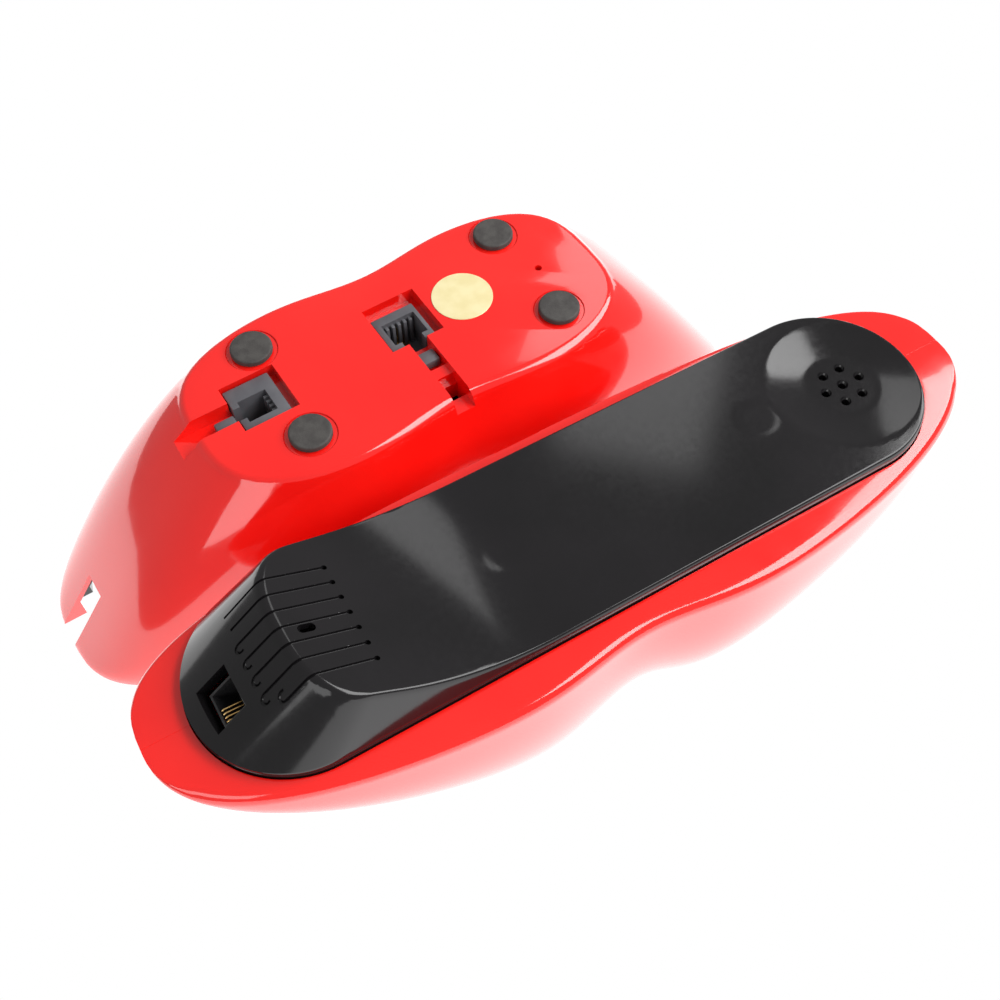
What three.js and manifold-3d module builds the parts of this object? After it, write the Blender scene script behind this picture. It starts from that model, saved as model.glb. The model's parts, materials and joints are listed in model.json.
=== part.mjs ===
// Lips-shaped novelty telephone, taken apart: the base (lower lip) and the handset (upper lip)
// lie upside down side by side. Millimetres, +Z up, X along the base's long axis.
import * as THREE from 'three';
import { mergeVertices } from 'three/addons/utils/BufferGeometryUtils.js';
import Module from 'manifold-3d';

const wasm = await Module();
wasm.setup();

// ---- lip bodies: half lengths, depth and its taper, and the plan of the near and far sides ----
const BASE_SIDE = { half: 35.9, power: 3.04, waist: 0.078, rim: 1.2 };
const BASE_LIP = {
  left: 111.5, right: 103.8, near: BASE_SIDE, far: BASE_SIDE, sectionPower: 2.875, bulge: 0,
  depth: 70.7, taperPower: 2.65, taperRoot: 1.26, bow: 0.076, bowWidth: 18.7, edge: 3.2,
};
const HANDSET_LIP = {
  left: 109.4, right: 112, sectionPower: 3.17, bulge: 0.095,
  near: { half: 34.5, power: 2.3, waist: 0.136, rim: 3 },
  far: { half: 30, power: 3.2, waist: 0, rim: 1.5 },
  depth: 55.3, taperPower: 1.86, taperRoot: 1.24, bow: 0.254, bowWidth: 14, edge: 4.1,
};
const WAIST_WIDTH = 22;
const WALL = 2.6;
const GAP = 0.3;
const GLUE = 0.05;

// ---- base: its origin is the middle of the four feet, its rim lies on the table ----
const BASE_Y = -1.2;
const FACE_Z = 57;
const FEET = [[-37.2, -16], [37.2, -16], [-37.2, 16], [37.2, 16]];
const FOOT = { r: 5.5, h: 1.6 };
const STICKER = { x: 18.2, y: 1.9, r: 8.25, h: 0.2 };
const BREATHER = { x: 41, y: -0.7, r: 1 };
const BOSS = { r: 5.2, depth: 6, headR: 3.1, headDepth: 1.8, shankR: 1.8 };
const DECK = { z: 7, t: 2.5, clearance: 0.5 };
const WELL = { left: -101.6, right: -42, r: 25.4, top: 24.5, shoulder: 9, t: 1.8 };
const CORD_NOTCH = { y: 1, half: 3.9, top: 16, right: -94 };
const POCKET_DEPTH = 4;
const CHANNEL_DEPTH = 4.6;

// Boxes of the two sockets as [x0, x1, y0, y1].
const LINE_JACK = {
  block: [-9.4, 10.4, -40, 13.8], pocket: [-7, 8.4, -4.6, 11.7], body: [-6.6, 6.1, -4.2, 8.3],
  mouth: [-4.9, 4.9, -2.2, 5.4], latch: [-3, 3, -5, -2], contactsAlongX: true,
};
const CORD_JACK = {
  block: [-70, -33, -8.4, 11], pocket: [-50.2, -35, -6.3, 9.1], body: [-49.8, -37, -5.9, 8.4],
  mouth: [-47.8, -40, -3.6, 3.6], latch: [-51, -47.6, -2, 2], contactsAlongX: false,
};
const JACK_DEPTH = 13;
const LINE_CHANNEL = { x0: -2.1, x1: 3.2, tooth: [-17.4, -14], hole: [-23.4, -18.8] };
const CORD_CHANNEL = { y0: -2.6, y1: 3.9 };

// ---- keypad, hook and board inside the base ----
const KEY = { sx: 10, sy: 8.6, pitch: 14, x0: -18, columns: 4, rows: 3, face: 4.6 };
const FUNCTION_KEY = { x: 48, sx: 7, pitch: 13 };
const KEY_FLANGE = { border: 1.4, bottom: 9.6, top: 11.2 };
const HOOK = { x: 70, r: 4, stem: 2.4, bottom: 0.8, flange: 5.6, flangeTop: 10.7, top: 16.8 };
const MAT = { x0: -26, x1: 54, half: 19.5, z: 13.2, t: 1.5 };
const BOARD = { x0: -33, x1: 80, half: 20.6, z: 15, t: 1.6 };
const STANDOFFS = [[-30, 0], [60.5, 12], [60.5, -12]];
const POST_R = 4;

// ---- handset, measured from its own rim plane, then turned and set down beside the base ----
const HANDSET = { x: 3.04, y: -73.77, yaw: THREE.MathUtils.degToRad(-2.6) };
const COVER = { x: 0.6, y: 1.3, half: 97.6, r: 23.3, top: 3.5, t: 2.2, skirt: 2.4, bevel: 0.9 };
const HUMP = { foot: -19.4, bendR: 81.4, pitch: THREE.MathUtils.degToRad(27.5), wall: 2 };
const CREST = { x: -58, reach: 15.3, half: 19, power: 2.5, height: 17.7 };
const DISH = { x: 79.5, r: 19.5, depth: 2.2 };
const EARPIECE = { x: 80, y: 1.4, holeR: 0.95, ringR: 5.25 };
const MIC = { x: -68.5, y: -0.2, half: 1.9, r: 1.05 };
const GROOVE = {
  pitch: 4.2, count: 7, width: 0.7, depth: 0.8, left: -83, right: -58.3, endR: 0.6, endDepth: 1.5,
};
const HANDSET_JACK = {
  x: -90.3, y: -0.7, sx: 9.9, sy: 10.8, depth: 10.5, sunk: 1.2,
  mouth: [-2.4, 4.1, -4.7, 2.6], ledge: [-3, 3.2], ledgeDepth: 6,
};
const RECEIVER = { r: 13, z0: -8.2, z1: -2.2 };
const CAPSULE = { r: 4.85, z0: 8, z1: 13 };

// ---------------------------------------------------------------- shapes

function box(x0, x1, y0, y1, z0, z1) {
  const geometry = new THREE.BoxGeometry(x1 - x0, y1 - y0, z1 - z0);
  return geometry.translate((x0 + x1) / 2, (y0 + y1) / 2, (z0 + z1) / 2);
}

function cylinder(x, y, z0, z1, r, sides = 20) {
  const geometry = new THREE.CylinderGeometry(r, r, z1 - z0, sides).rotateX(Math.PI / 2);
  return geometry.translate(x, y, (z0 + z1) / 2);
}

function extrude(points, height) {
  const shape = new THREE.Shape(points.map(([a, b]) => new THREE.Vector2(a, b)));
  return new THREE.ExtrudeGeometry(shape, { depth: height, bevelEnabled: false });
}

// A plan outline of [x, y] points between two heights.
function prism(points, z0, z1) {
  return extrude(points, z1 - z0).translate(0, 0, z0);
}

// A side outline of [x, z] points, carried along Y.
function sideways(points, y0, y1) {
  return extrude(points, y1 - y0).rotateX(Math.PI / 2).translate(0, y1, 0);
}

function signedVolume(points, triangles) {
  const corner = index => new THREE.Vector3().fromArray(points, 3 * index);
  let volume = 0;
  for (let i = 0; i < triangles.length; i += 3) {
    volume += corner(triangles[i]).dot(corner(triangles[i + 1]).cross(corner(triangles[i + 2])));
  }
  return volume;
}

// A closed body through rings of equal point count, each end closed on one point.
function loft(rings, start, end) {
  const count = rings[0].length;
  const points = rings.flat(2).concat(start, end);
  const last = (rings.length - 1) * count;
  const startIndex = rings.length * count;
  const triangles = [];
  for (let k = 0; k < count; k++) {
    const next = (k + 1) % count;
    triangles.push(startIndex, next, k, startIndex + 1, last + k, last + next);
    for (let p = 0; p < last; p += count) {
      const q = p + count;
      triangles.push(p + k, p + next, q + next, p + k, q + next, q + k);
    }
  }
  if (signedVolume(points, triangles) < 0) triangles.reverse();
  const geometry = new THREE.BufferGeometry();
  geometry.setAttribute('position', new THREE.Float32BufferAttribute(points, 3));
  geometry.setIndex(triangles);
  return geometry;
}

function middle(ring) {
  const sum = ring.reduce((total, point) => total.map((value, i) => value + point[i]), [0, 0, 0]);
  return sum.map(value => value / ring.length);
}

function stadium(x, y, half, r, arcSteps = 14) {
  const points = [];
  for (const side of [1, -1]) {
    for (let k = 0; k <= arcSteps; k++) {
      const angle = Math.PI * (k / arcSteps - 0.5);
      points.push([x + side * (half - r + r * Math.cos(angle)), y + side * r * Math.sin(angle)]);
    }
  }
  return points;
}

// ---------------------------------------------------------------- joins and cuts

function solid(shape) {
  if (!shape.isBufferGeometry) return shape;
  const bare = new THREE.BufferGeometry();
  bare.setAttribute('position', shape.getAttribute('position').clone());
  if (shape.index) bare.setIndex(shape.index.clone());
  const merged = mergeVertices(bare, 1e-4);
  return new wasm.Manifold(new wasm.Mesh({
    numProp: 3,
    vertProperties: new Float32Array(merged.getAttribute('position').array),
    triVerts: new Uint32Array(merged.index.array),
  }));
}

const join = (...shapes) => shapes.map(solid).reduce((a, b) => a.add(b));
const cut = (...shapes) => shapes.map(solid).reduce((a, b) => a.subtract(b));
const common = (a, b) => solid(a).intersect(solid(b));

function geometryOf(shape) {
  const { vertProperties, triVerts } = solid(shape).getMesh();
  const geometry = new THREE.BufferGeometry();
  geometry.setAttribute('position', new THREE.BufferAttribute(vertProperties, 3));
  geometry.setIndex(new THREE.BufferAttribute(triVerts, 1));
  return geometry;
}

// ---------------------------------------------------------------- lip shape

function sideHalf(side, u, x) {
  const plan = (1 - u ** side.power) ** (1 / side.power);
  return side.half * plan * (1 - side.waist * Math.exp(-((x / WAIST_WIDTH) ** 2)));
}

function lipDepth(lip, u, x) {
  const taper = (1 - u ** lip.taperPower) ** lip.taperRoot;
  const bow = 1 - lip.bow * Math.exp(-((x / lip.bowWidth) ** 2));
  return lip.depth * taper * bow + lip.edge * Math.sqrt(1 - u ** 12);
}

// One cross-section as [y, depth] points, from the far rim over the back to the near rim.
function lipSection(lip, x, wall, steps) {
  const u = Math.abs(x) / (x < 0 ? lip.left : lip.right);
  const depth = lipDepth(lip, u, x) - wall;
  const points = [];
  for (let k = -steps; k <= steps; k++) {
    const side = k < 0 ? lip.far : lip.near;
    const half = sideHalf(side, u, x) - wall;
    const turn = Math.PI / 2 * (1 - Math.abs(k) / steps) ** 2.2;
    const down = depth * Math.sin(turn) ** (2 / lip.sectionPower);
    const reach = half * Math.cos(turn) ** (2 / lip.sectionPower) * (1 + lip.bulge * Math.sin(2 * turn));
    const round = wall > 0 ? 0 : Math.min(side.rim, depth / 2, half / 2);
    const inset = down < round ? round - Math.sqrt(round ** 2 - (round - down) ** 2) : 0;
    points.push([Math.sign(-k) * Math.max(0, reach - inset), down]);
  }
  return points;
}

function lipStations(lip, count, reach) {
  const stations = [];
  for (let i = 0; i < count; i++) {
    const even = 2 * i / (count - 1) - 1;
    const t = reach * (even + Math.sin(Math.PI / 2 * even)) / 2;
    stations.push(t * (t < 0 ? lip.left : lip.right));
  }
  return stations;
}

// The whole lip, standing on its rim plane (up = 1) or hanging below it (up = -1).
function lipBody(lip, up, count, steps) {
  const rings = lipStations(lip, count, 0.998)
    .map(x => lipSection(lip, x, 0, steps).map(([y, down]) => [x, y, up * down]));
  return loft(rings, [-lip.left, 0, 0], [lip.right, 0, 0]);
}

// The room inside a wall, carried straight on past the rim plane by "skirt".
function lipHollow(lip, up, wall, skirt, count, steps) {
  const rings = lipStations(lip, count, 1 - 2.6 * wall / lip.left).map(x => {
    const section = lipSection(lip, x, wall, steps);
    const far = [section[0][0], -skirt];
    const near = [section[2 * steps][0], -skirt];
    return [far, ...section, near].map(([y, down]) => [x, y, up * down]);
  });
  return loft(rings, middle(rings[0]), middle(rings[count - 1]));
}

function deepest(lip) {
  const depths = lipStations(lip, 200, 0.9).map(x => lipDepth(lip, Math.abs(x) / lip.left, x));
  return Math.max(...depths);
}

// ---------------------------------------------------------------- base

function baseHollow(wall) {
  return lipHollow(BASE_LIP, 1, wall, 12, 23, 5).translate(0, BASE_Y, 0);
}

function aboveFace(z) {
  return box(-150, 150, -80, 80, z, 150);
}

function planBox([x0, x1, y0, y1], z0, z1, grow = 0) {
  return box(x0 - grow, x1 + grow, y0 - grow, y1 + grow, z0, z1);
}

// The notch for the handset cord through the base's left tip.
function tipNotch(grow) {
  const { y, half, top, right } = CORD_NOTCH;
  return box(-130, right - grow, y - half - grow, y + half + grow, -20, top + 2 * grow);
}

function makeBaseShell() {
  const outer = lipBody(BASE_LIP, 1, 35, 6).translate(0, BASE_Y, 0);
  const room = cut(baseHollow(WALL), aboveFace(FACE_Z - WALL));
  const blocks = [LINE_JACK, CORD_JACK].map(jack => planBox(jack.block, FACE_Z - JACK_DEPTH + 3, FACE_Z));
  const bosses = FEET.map(([x, y]) => cylinder(x, y, FACE_Z - BOSS.depth, FACE_Z + 1, BOSS.r));
  let shell = join(cut(outer, room), common(outer, join(...blocks, ...bosses)));
  shell = cut(shell, aboveFace(FACE_Z));
  for (const jack of [LINE_JACK, CORD_JACK]) {
    const pocket = planBox(jack.pocket, FACE_Z - POCKET_DEPTH, FACE_Z + 5);
    shell = cut(shell, pocket, planBox(jack.body, 20, FACE_Z, GAP / 2));
  }
  const channelZ = FACE_Z - CHANNEL_DEPTH;
  const { x0, x1, tooth, hole } = LINE_CHANNEL;
  shell = cut(shell, box(x0, x1, -50, LINE_JACK.pocket[2] + 1, channelZ, 80));
  shell = cut(shell, box(x0, x1, hole[0], hole[1], 20, 80));
  shell = join(shell, box(x0 - 0.5, x1 + 0.5, tooth[0], tooth[1], channelZ - 1, FACE_Z - 1.8));
  shell = cut(shell, box(-90, CORD_JACK.pocket[0] + 1, CORD_CHANNEL.y0, CORD_CHANNEL.y1, channelZ, 80));
  shell = cut(shell, cylinder(BREATHER.x, BREATHER.y, 40, 70, BREATHER.r, 12));
  for (const [x, y] of FEET) {
    shell = cut(shell, cylinder(x, y, FACE_Z - BOSS.headDepth, 70, BOSS.headR));
    shell = cut(shell, cylinder(x, y, 40, 70, BOSS.shankR, 16));
  }
  return cut(shell, tipNotch(0));
}

// The tub over the mouthpiece's hump, or the room inside it when grow is 0.
function wellBody(grow) {
  const { left, right, r, top, shoulder } = WELL;
  const half = (right - left) / 2;
  const plan = stadium(left + half + 10, BASE_Y, half + 10 + grow, r + grow)
    .map(([x, y]) => [Math.min(x, right + grow), y]);
  const side = [
    [left - grow, -12], [left - grow, shoulder + grow], [left + 13, top + grow],
    [right - 22, top + grow], [right + grow, shoulder + grow], [right + grow, -12],
  ];
  return common(prism(plan, -14, 60), sideways(side, -60, 60));
}

function keySites() {
  const sites = [];
  for (let column = 0; column < KEY.columns; column++) {
    for (let row = 0; row < KEY.rows; row++) {
      const name = `dial_key_${column * KEY.rows + row + 1}`;
      sites.push({ name, x: KEY.x0 + column * KEY.pitch, y: (row - 1) * KEY.pitch, sx: KEY.sx });
    }
  }
  for (let row = 0; row < KEY.rows; row++) {
    const y = (row - 1) * FUNCTION_KEY.pitch;
    sites.push({ name: `function_key_${row + 1}`, x: FUNCTION_KEY.x, y, sx: FUNCTION_KEY.sx });
  }
  return sites;
}

function keyBox({ x, y, sx }, grow, z0, z1) {
  return box(x - sx / 2 - grow, x + sx / 2 + grow, y - KEY.sy / 2 - grow, y + KEY.sy / 2 + grow, z0, z1);
}

// The tub is let into the deck, its mouth level with the deck's lower face, and hugs two posts.
function makeTub() {
  const outer = cut(wellBody(WELL.t), box(-140, 140, -60, 60, -20, DECK.z));
  const posts = FEET.map(([x, y]) => cylinder(x, y, 0, 60, POST_R + GLUE));
  const tub = cut(common(outer, baseHollow(WALL + DECK.clearance)), ...posts);
  return cut(tub, wellBody(0), tipNotch(0.5));
}

function makeDeck() {
  const { z, t, clearance } = DECK;
  let deck = common(box(-140, 140, -60, 60, z, z + t), baseHollow(WALL + clearance));
  deck = cut(deck, wellBody(WELL.t + GLUE));
  for (const [x, y] of FEET) {
    deck = join(deck, cylinder(x, y, z + 1, FACE_Z - BOSS.depth - GAP, POST_R));
    deck = cut(deck, cylinder(x, y, FACE_Z - 16, 70, 1.65, 16));
  }
  for (const [x, y] of STANDOFFS) {
    deck = join(deck, cylinder(x, y, z + 1, BOARD.z - GLUE, 2.5, 16));
    deck = cut(deck, cylinder(x, y, z + t, BOARD.z + 1, 1.15, 12));
  }
  deck = cut(deck, ...keySites().map(site => keyBox(site, GAP, 0, z + t + 0.3)));
  deck = cut(deck, cylinder(HOOK.x, 0, 0, z + t + 0.3, HOOK.r + GAP));
  return cut(deck, tipNotch(0.5));
}

function makeKey(site) {
  const { border, bottom, top } = KEY_FLANGE;
  return join(keyBox(site, 0, KEY.face, bottom + 0.5), keyBox(site, border, bottom, top));
}

function makeHook() {
  const post = cylinder(HOOK.x, 0, HOOK.bottom, HOOK.flangeTop, HOOK.r);
  const disc = cylinder(HOOK.x, 0, KEY_FLANGE.bottom, HOOK.flangeTop, HOOK.flange);
  return join(post, disc, cylinder(HOOK.x, 0, KEY_FLANGE.bottom, HOOK.top, HOOK.stem, 16));
}

function clearOfPosts(sheet) {
  const posts = FEET.filter(([x]) => x > 0).map(([x, y]) => cylinder(x, y, 0, 60, POST_R + 0.6));
  return cut(sheet, ...posts);
}

function makeMat() {
  return clearOfPosts(box(MAT.x0, MAT.x1, -MAT.half, MAT.half, MAT.z, MAT.z + MAT.t));
}

function makeBoard() {
  const sheet = box(BOARD.x0, BOARD.x1, -BOARD.half, BOARD.half, BOARD.z, BOARD.z + BOARD.t);
  const holes = STANDOFFS.map(([x, y]) => cylinder(x, y, 0, 60, 1.3, 12));
  return cut(clearOfPosts(sheet), cylinder(HOOK.x, 0, 0, 60, HOOK.stem + 1), ...holes);
}

function makeHookSwitch() {
  const z = BOARD.z + BOARD.t + GLUE;
  const archTop = HOOK.top + 4.4;
  const block = box(HOOK.x - 7, HOOK.x + 7, -4, 4, z, archTop + 4);
  return cut(block, box(HOOK.x - 4.5, HOOK.x + 4.5, -5, 5, z - 1, archTop));
}

function makeRinger() {
  const z = BOARD.z + BOARD.t + GLUE;
  return cut(cylinder(8, 0, z, z + 6.5, 11, 32), cylinder(8, 0, z + 4, z + 9, 1.5, 12));
}

function makeScrew(x, y, headZ, headR, shankR, length) {
  const head = cylinder(x, y, headZ - 1.4, headZ, headR, 16);
  const slot = box(x - headR * 0.8, x + headR * 0.8, y - 0.3, y + 0.3, headZ - 0.6, headZ + 1);
  return join(cut(head, slot), cylinder(x, y, headZ - length, headZ - 1, shankR, 12));
}

// A modular jack: a block with a mouth, and beside it the slot for the plug's latch.
function makeBaseJack(jack) {
  const bottom = FACE_Z - JACK_DEPTH;
  const block = planBox(jack.body, bottom, FACE_Z - 1);
  return cut(block, planBox(jack.mouth, bottom + 1.4, 80), planBox(jack.latch, bottom + 4, 80));
}

// Four sprung wires on the strip that holds them, against one wall of the mouth.
function contactComb(across, edge, z, place) {
  const wires = [-1.5, -0.5, 0.5, 1.5].map(step => {
    const at = across + step * 1.1;
    return place(at - 0.2, at + 0.2, edge - 0.6, edge - 0.1, z + 0.6, z + 7.5);
  });
  return join(place(across - 2.4, across + 2.4, edge - 1, edge - 0.1, z, z + 1.2), ...wires);
}

function makeBaseContacts({ mouth: [x0, x1, y0, y1], contactsAlongX }) {
  const z = FACE_Z - JACK_DEPTH + 1.5;
  if (contactsAlongX) return contactComb((x0 + x1) / 2, y1, z, box);
  return contactComb((y0 + y1) / 2, x1, z, (a0, a1, b0, b1, z0, z1) => box(b0, b1, a0, a1, z0, z1));
}

// ---------------------------------------------------------------- handset

function makeHandsetShell() {
  const outer = lipBody(HANDSET_LIP, -1, 37, 7);
  const room = cut(lipHollow(HANDSET_LIP, -1, WALL, 2, 25, 5), box(-150, 150, -60, 60, -WALL, 5));
  const { x, y, half, r, bevel } = COVER;
  const grow = bevel + GAP;
  const seat = prism(stadium(x, y, half + grow, r + grow), -WALL - 1, 5);
  return cut(outer, room, seat);
}

// Height of the mouthpiece's inner slope above the cover: an arc that leaves the cover level,
// then a straight run up to the crest.
function innerSlope(x) {
  const { foot, bendR, pitch } = HUMP;
  const run = foot - x;
  const bend = bendR * Math.sin(pitch);
  if (run < bend) return bendR - Math.sqrt(bendR ** 2 - run ** 2);
  return bendR * (1 - Math.cos(pitch)) + (run - bend) * Math.tan(pitch);
}

// The hump between its low outline, a half circle, and its high one, a superellipse, under the inner slope.
function humpBody(inset) {
  const { top, skirt, bevel } = COVER;
  const end = HUMP.foot + 2;
  const outline = (x, reach, half, power, z) => {
    const ring = [[end, COVER.y + half, z]];
    for (let k = 8; k >= -8; k--) {
      const turn = Math.PI / 2 * k / 8;
      const along = x - reach * Math.max(0, Math.cos(turn)) ** (2 / power);
      ring.push([along, COVER.y + Math.sign(k) * half * Math.abs(Math.sin(turn)) ** (2 / power), z]);
    }
    return ring.concat([[end, COVER.y - half, z]]);
  };
  const r = COVER.r + bevel - inset;
  const low = z => outline(COVER.x - COVER.half + COVER.r, r, r, 2, z);
  const { x, reach, half, power, height } = CREST;
  const high = outline(x, reach - inset, half - inset, power, top + height + 1 - inset);
  const rings = [low(-skirt - 2 * inset), low(top - 1 - inset), high];
  const slope = [];
  for (let k = 0; k <= 10; k++) {
    const along = HUMP.foot + (x - reach - 4 - HUMP.foot) * k / 10;
    slope.push([along, top - inset + innerSlope(along)]);
  }
  const below = [[-120, slope[10][1]], [-120, -30], [end, -30], [end, top - inset]];
  return common(loft(rings, middle(rings[0]), middle(high)), sideways([...slope, ...below], -60, 60));
}

// A groove over the crest, down both slopes, with a small pit at its right end.
function makeGroove(y) {
  const { width, depth, left, right, endR, endDepth } = GROOVE;
  const line = cut(box(left, right, y - width / 2, y + width / 2, 0, 40), humpBody(depth));
  return join(line, cut(cylinder(right, y, 0, 40, endR, 10), humpBody(endDepth)));
}

// The ear's shallow dish as a lens-shaped cutter.
function makeDish() {
  const radius = (DISH.r ** 2 + DISH.depth ** 2) / (2 * DISH.depth);
  const points = [];
  for (let k = 0; k <= 8; k++) {
    const r = DISH.r * k / 8;
    points.push(new THREE.Vector2(r, radius - DISH.depth - Math.sqrt(radius ** 2 - r ** 2)));
  }
  points.push(new THREE.Vector2(DISH.r, 2), new THREE.Vector2(0, 2));
  return new THREE.LatheGeometry(points, 36).rotateX(Math.PI / 2).translate(DISH.x, COVER.y, COVER.top);
}

// Sets a shape made around the origin, mouth up, into the hump's outer slope.
function onOuterSlope(geometry) {
  const foot = COVER.x - COVER.half - COVER.bevel;
  const tilt = Math.atan2(CREST.height + 2, CREST.x - CREST.reach - foot);
  const z = COVER.top - 1 + (HANDSET_JACK.x - foot) * Math.tan(tilt);
  return geometry.rotateY(-tilt).translate(HANDSET_JACK.x, HANDSET_JACK.y, z);
}

function makeCover() {
  const { x, y, half, r, top, t, skirt, bevel } = COVER;
  const ring = (z, grow) => stadium(x, y, half + grow, r + grow).map(([px, py]) => [px, py, z]);
  const rings = [ring(-skirt, bevel), ring(top - 1.4, bevel), ring(top - 0.4, 0.4), ring(top, -0.6)];
  const inner = half + bevel - 2;
  const hollow = prism(stadium(x, y, inner, r + bevel - 2), -skirt - 5, top - t);
  let cover = cut(join(loft(rings, [x, y, -skirt], [x, y, top]), humpBody(0)), hollow, humpBody(HUMP.wall));
  const dishBack = cylinder(DISH.x, y, top - t - DISH.depth, top - 0.5, DISH.r - 1, 36);
  cover = cut(join(cover, dishBack), makeDish());
  for (let k = 0; k < 7; k++) {
    const ringR = k < 6 ? EARPIECE.ringR : 0;
    const holeX = EARPIECE.x + ringR * Math.cos(k * Math.PI / 3);
    const holeY = EARPIECE.y + ringR * Math.sin(k * Math.PI / 3);
    cover = cut(cover, cylinder(holeX, holeY, -20, 20, EARPIECE.holeR, 10));
  }
  cover = cut(cover, prism(stadium(MIC.x, MIC.y, MIC.half, MIC.r, 6), 10, 40));
  for (let k = 0; k < GROOVE.count; k++) {
    cover = cut(cover, makeGroove(y + (k - (GROOVE.count - 1) / 2) * GROOVE.pitch));
  }
  const { sx, sy, depth } = HANDSET_JACK;
  return cut(cover, onOuterSlope(box(-sx / 2, sx / 2, -sy / 2, sy / 2, -depth - 1, 9)));
}

function makeHandsetJack() {
  const { sx, sy, depth, sunk, mouth, ledge, ledgeDepth } = HANDSET_JACK;
  const block = box(-sx / 2 + GAP, sx / 2 - GAP, -sy / 2 + GAP, sy / 2 - GAP, -depth, -sunk);
  const steps = [box(-sx, ledge[0], -sy, sy, -ledgeDepth, 5), box(-sx, sx, ledge[1], sy, -ledgeDepth, 5)];
  return onOuterSlope(geometryOf(cut(block, ...steps, planBox(mouth, 1.4 - depth, 5))));
}

function makeHandsetContacts() {
  const [x0, x1, y0] = HANDSET_JACK.mouth;
  const place = (a0, a1, b0, b1, z0, z1) => box(a0, a1, -b1, -b0, z0, z1);
  return onOuterSlope(geometryOf(contactComb((x0 + x1) / 2, -y0, 1.5 - HANDSET_JACK.depth, place)));
}

function makeReceiver() {
  return cylinder(DISH.x, COVER.y, RECEIVER.z0, RECEIVER.z1, RECEIVER.r, 28);
}

function makeMicrophone() {
  return cylinder(MIC.x, MIC.y, CAPSULE.z0, CAPSULE.z1, CAPSULE.r);
}

// ---------------------------------------------------------------- assembly

function material(color, roughness, metalness = 0) {
  return new THREE.MeshStandardMaterial({ color, roughness, metalness });
}

const RED = material(0xe01410, 0.15);
const BLACK = material(0x232224, 0.25);
const GREY = material(0x6a6a6e, 0.5);
const RUBBER = material(0x45423f, 0.8);
const CREAM = material(0xf3e0a0, 0.6);
const GOLD = material(0xd8a840, 0.25, 1);
const STEEL = material(0xb8babd, 0.3, 1);
const GREEN = material(0x1f6b3a, 0.5);
const PALE = material(0xe8e6e0, 0.4);

const group = new THREE.Group();
const baseGroup = new THREE.Group();
const handsetGroup = new THREE.Group();
group.add(baseGroup, handsetGroup);

function add(parent, name, shape, look) {
  const mesh = new THREE.Mesh(geometryOf(shape), look);
  mesh.name = name;
  parent.add(mesh);
}

add(baseGroup, 'base_shell', makeBaseShell(), RED);
add(baseGroup, 'base_deck', makeDeck(), BLACK);
add(baseGroup, 'mouthpiece_tub', makeTub(), BLACK);
for (const site of keySites()) {
  add(baseGroup, site.name, makeKey(site), PALE);
}
add(baseGroup, 'hook_plunger', makeHook(), PALE);
add(baseGroup, 'hook_switch', makeHookSwitch(), BLACK);
add(baseGroup, 'keypad_mat', makeMat(), RUBBER);
add(baseGroup, 'base_board', makeBoard(), GREEN);
add(baseGroup, 'ringer', makeRinger(), BLACK);
add(baseGroup, 'line_jack', makeBaseJack(LINE_JACK), GREY);
add(baseGroup, 'line_jack_contacts', makeBaseContacts(LINE_JACK), GOLD);
add(baseGroup, 'cord_jack', makeBaseJack(CORD_JACK), GREY);
add(baseGroup, 'cord_jack_contacts', makeBaseContacts(CORD_JACK), GOLD);
FEET.forEach(([x, y], i) => {
  add(baseGroup, `foot_${i + 1}`, cylinder(x, y, FACE_Z + GLUE, FACE_Z + FOOT.h, FOOT.r, 24), RUBBER);
  add(baseGroup, `shell_screw_${i + 1}`, makeScrew(x, y, FACE_Z - 0.3, 2.8, 1.5, 14), STEEL);
});
STANDOFFS.forEach(([x, y], i) => {
  const headZ = BOARD.z + BOARD.t + 1.4 + GLUE;
  add(baseGroup, `board_screw_${i + 1}`, makeScrew(x, y, headZ, 2.2, 1, 6.5), STEEL);
});
const sticker = cylinder(STICKER.x, STICKER.y, FACE_Z + GLUE, FACE_Z + STICKER.h, STICKER.r, 32);
add(baseGroup, 'blank_sticker', sticker, CREAM);

add(handsetGroup, 'handset_shell', makeHandsetShell(), RED);
add(handsetGroup, 'handset_cover', makeCover(), BLACK);
add(handsetGroup, 'handset_jack', makeHandsetJack(), GREY);
add(handsetGroup, 'handset_jack_contacts', makeHandsetContacts(), GOLD);
add(handsetGroup, 'receiver', makeReceiver(), STEEL);
add(handsetGroup, 'microphone', makeMicrophone(), STEEL);
handsetGroup.position.set(HANDSET.x, HANDSET.y, deepest(HANDSET_LIP));
handsetGroup.rotation.z = HANDSET.yaw;

// The origin of the whole: the middle of the footprint, on the table.
const bounds = new THREE.Box3().setFromObject(group, true);
const centre = bounds.getCenter(new THREE.Vector3());
for (const part of [baseGroup, handsetGroup]) {
  part.position.x -= centre.x;
  part.position.y -= centre.y;
}

export default group;
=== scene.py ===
import json
import math
import bmesh
import bpy
import numpy as np
from mathutils import Matrix, Vector


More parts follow.
